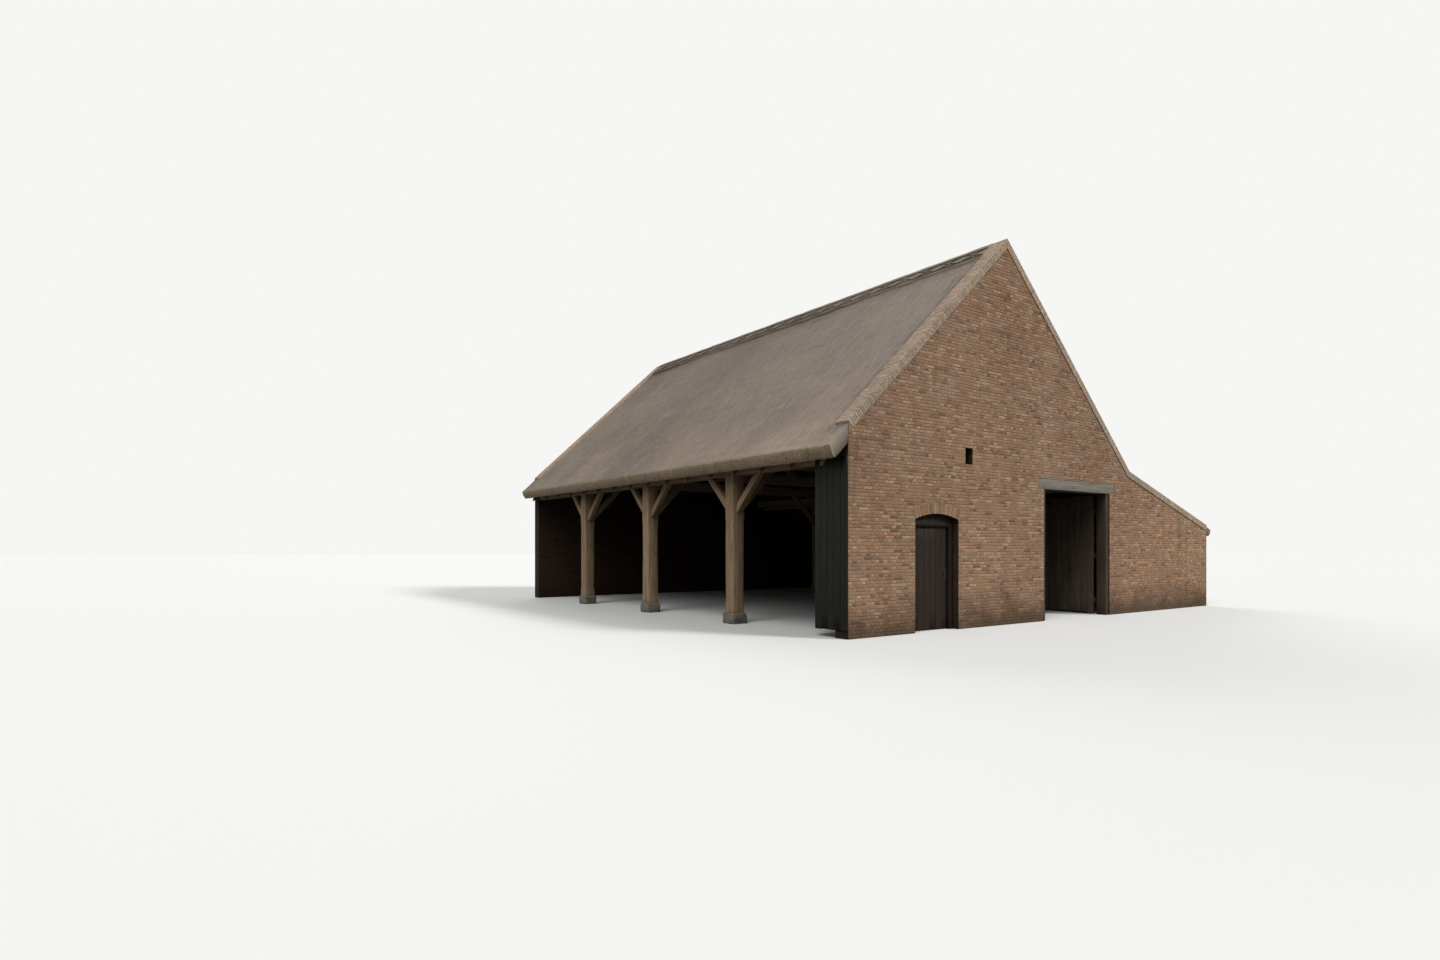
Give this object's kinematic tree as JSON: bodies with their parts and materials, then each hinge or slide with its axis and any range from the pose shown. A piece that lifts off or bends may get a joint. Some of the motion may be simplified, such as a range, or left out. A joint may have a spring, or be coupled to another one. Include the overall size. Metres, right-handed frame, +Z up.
{
  "type": "thatched brick barn with an open cart side",
  "caption": "Brick barn under a steep thatched roof, with an open timber-posted side, a lower side aisle, a small hinged door and a wagon doorway with two leaves.",
  "frame": {"origin": "on the ground at the middle of the building's bounding box", "axes": "+X along the front gable from the open side to the aisle, +Y along the ridge from the front gable to the rear, +Z up"},
  "size_m": [14.23, 14.03, 7.9747],
  "materials": {
    "brick": "weathered brown-red brick with thin lime joints",
    "coping_brick": "paler brick on edge, weathered",
    "frame_oak": "old sawn oak, matt",
    "rafter_wood": "rough softwood, matt",
    "thatch": "weathered grey-brown reed",
    "ridge_cap": "weathered reed, darker",
    "weathered_lintel": "silvered oak beam",
    "pad_stone": "rough dressed stone",
    "tarred_boards": "tarred boards, low sheen",
    "dark_door_oak": "dark oiled oak",
    "wagon_door_oak": "dark weathered oak",
    "black_iron": "forged iron, blackened and slightly rusty"
  },
  "bodies": {
    "barn": {"front_wall_left": "brick", "front_wall_middle": "brick", "front_wall_right": "brick", "small_door_head": "brick", "wagon_lintel": "weathered_lintel", "wagon_posts": "wagon_door_oak", "front_gable": "brick", "aisle_front_wall": "brick", "aisle_side_wall": "brick", "aisle_rear_wall": "brick", "rear_gable": "brick", "coping_left": "coping_brick", "coping_right": "coping_brick", "coping_aisle": "coping_brick", "post_stones": "pad_stone", "arcade_posts": "frame_oak", "wall_plates": "frame_oak", "plate_braces": "frame_oak", "tie_beams": "frame_oak", "tie_braces": "frame_oak", "principals_left": "frame_oak", "principals_right": "frame_oak", "collars": "frame_oak", "purlins": "frame_oak", "ridge_beam": "frame_oak", "rafters_left": "rafter_wood", "rafters_right": "rafter_wood", "aisle_ledger": "frame_oak", "aisle_rafters": "rafter_wood", "aisle_plate": "frame_oak", "thatch_left": "thatch", "thatch_right": "thatch", "thatch_aisle": "thatch", "ridge_cap": "ridge_cap", "corner_boarding": "tarred_boards", "corner_studs": "frame_oak", "small_door_frame": "dark_door_oak", "pintles": "black_iron"},
    "small_door_leaf": {"small_door": "dark_door_oak", "small_door_ironwork": "black_iron"},
    "wagon_leaf_left": {"wagon_door_left": "wagon_door_oak", "wagon_ironwork_left": "black_iron"},
    "wagon_leaf_right": {"wagon_door_right": "wagon_door_oak", "wagon_ironwork_right": "black_iron"}
  },
  "joints": [
    {"name": "small_door_hinge", "type": "hinge", "parent": "barn", "child": "small_door_leaf", "pos_m": [-4.884, -6.729, 0], "axis": [0, 0, 1], "range_deg": [0, 105]},
    {"name": "wagon_hinge_left", "type": "hinge", "parent": "barn", "child": "wagon_leaf_left", "pos_m": [-0.835, -6.659, 0], "axis": [0, 0, 1], "range_deg": [-90, 15]},
    {"name": "wagon_hinge_right", "type": "hinge", "parent": "barn", "child": "wagon_leaf_right", "pos_m": [1.845, -6.659, 0], "axis": [0, 0, 1], "range_deg": [-15, 90]}
  ]
}
